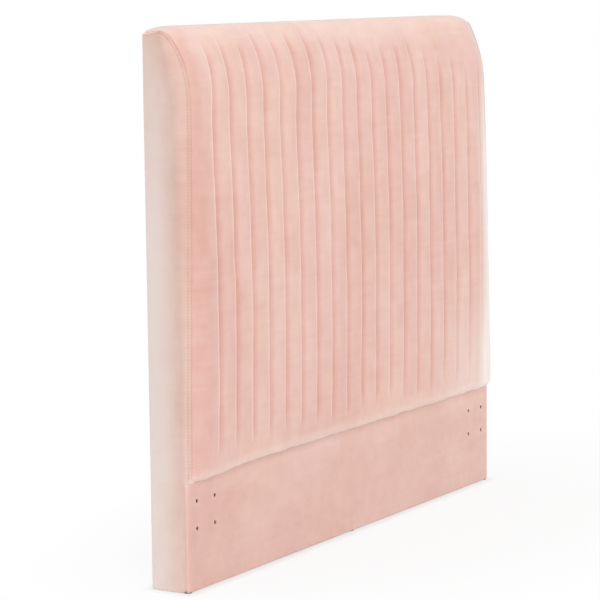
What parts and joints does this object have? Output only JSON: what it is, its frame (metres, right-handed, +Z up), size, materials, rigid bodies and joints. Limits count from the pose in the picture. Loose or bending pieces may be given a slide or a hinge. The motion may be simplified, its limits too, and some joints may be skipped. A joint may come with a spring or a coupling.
{
  "type": "headboard",
  "caption": "Free-standing queen-size upholstered headboard: velvet pad with vertical lapped tucks and a waterfall top over a plain bolt-on apron.",
  "frame": {"origin": "on the floor, under the middle of the headboard's width and depth", "axes": "+X to the right seen from the bed, +Y towards the wall, +Z up"},
  "size_m": [1.575, 0.1406, 1.3726],
  "materials": {
    "plywood": "sanded, unfinished",
    "pine": "planed, unfinished",
    "hardboard": "smooth pressed face",
    "zinc": "bright zinc plate",
    "nylon": "matt",
    "foam": "open-cell foam, soft",
    "velvet": "blush pink velvet pile",
    "card": "plain grey-brown board",
    "wadding": "white polyester wadding",
    "dust_cloth": "black non-woven cloth"
  },
  "bodies": {
    "root": {"left_end_panel": "plywood", "right_end_panel": "plywood", "left_rib": "plywood", "centre_rib": "plywood", "right_rib": "plywood", "crest_rail": "pine", "middle_front_rail": "pine", "bottom_front_rail": "pine", "middle_back_rail": "pine", "bottom_back_rail": "pine", "lap_rail": "pine", "front_skin": "hardboard", "apron_board": "plywood", "left_bolt_block": "pine", "right_bolt_block": "pine", "bolt_nuts": "zinc", "corner_blocks": "pine", "frame_screws": "zinc", "floor_glides": "nylon", "pad_foam": "foam", "pleated_cover": "velvet", "tack_strip": "card", "left_side_wadding": "wadding", "right_side_wadding": "wadding", "left_side_cover": "velvet", "right_side_cover": "velvet", "apron_wadding": "wadding", "apron_cover": "velvet", "back_dust_cover": "dust_cloth"}
  },
  "joints": []
}
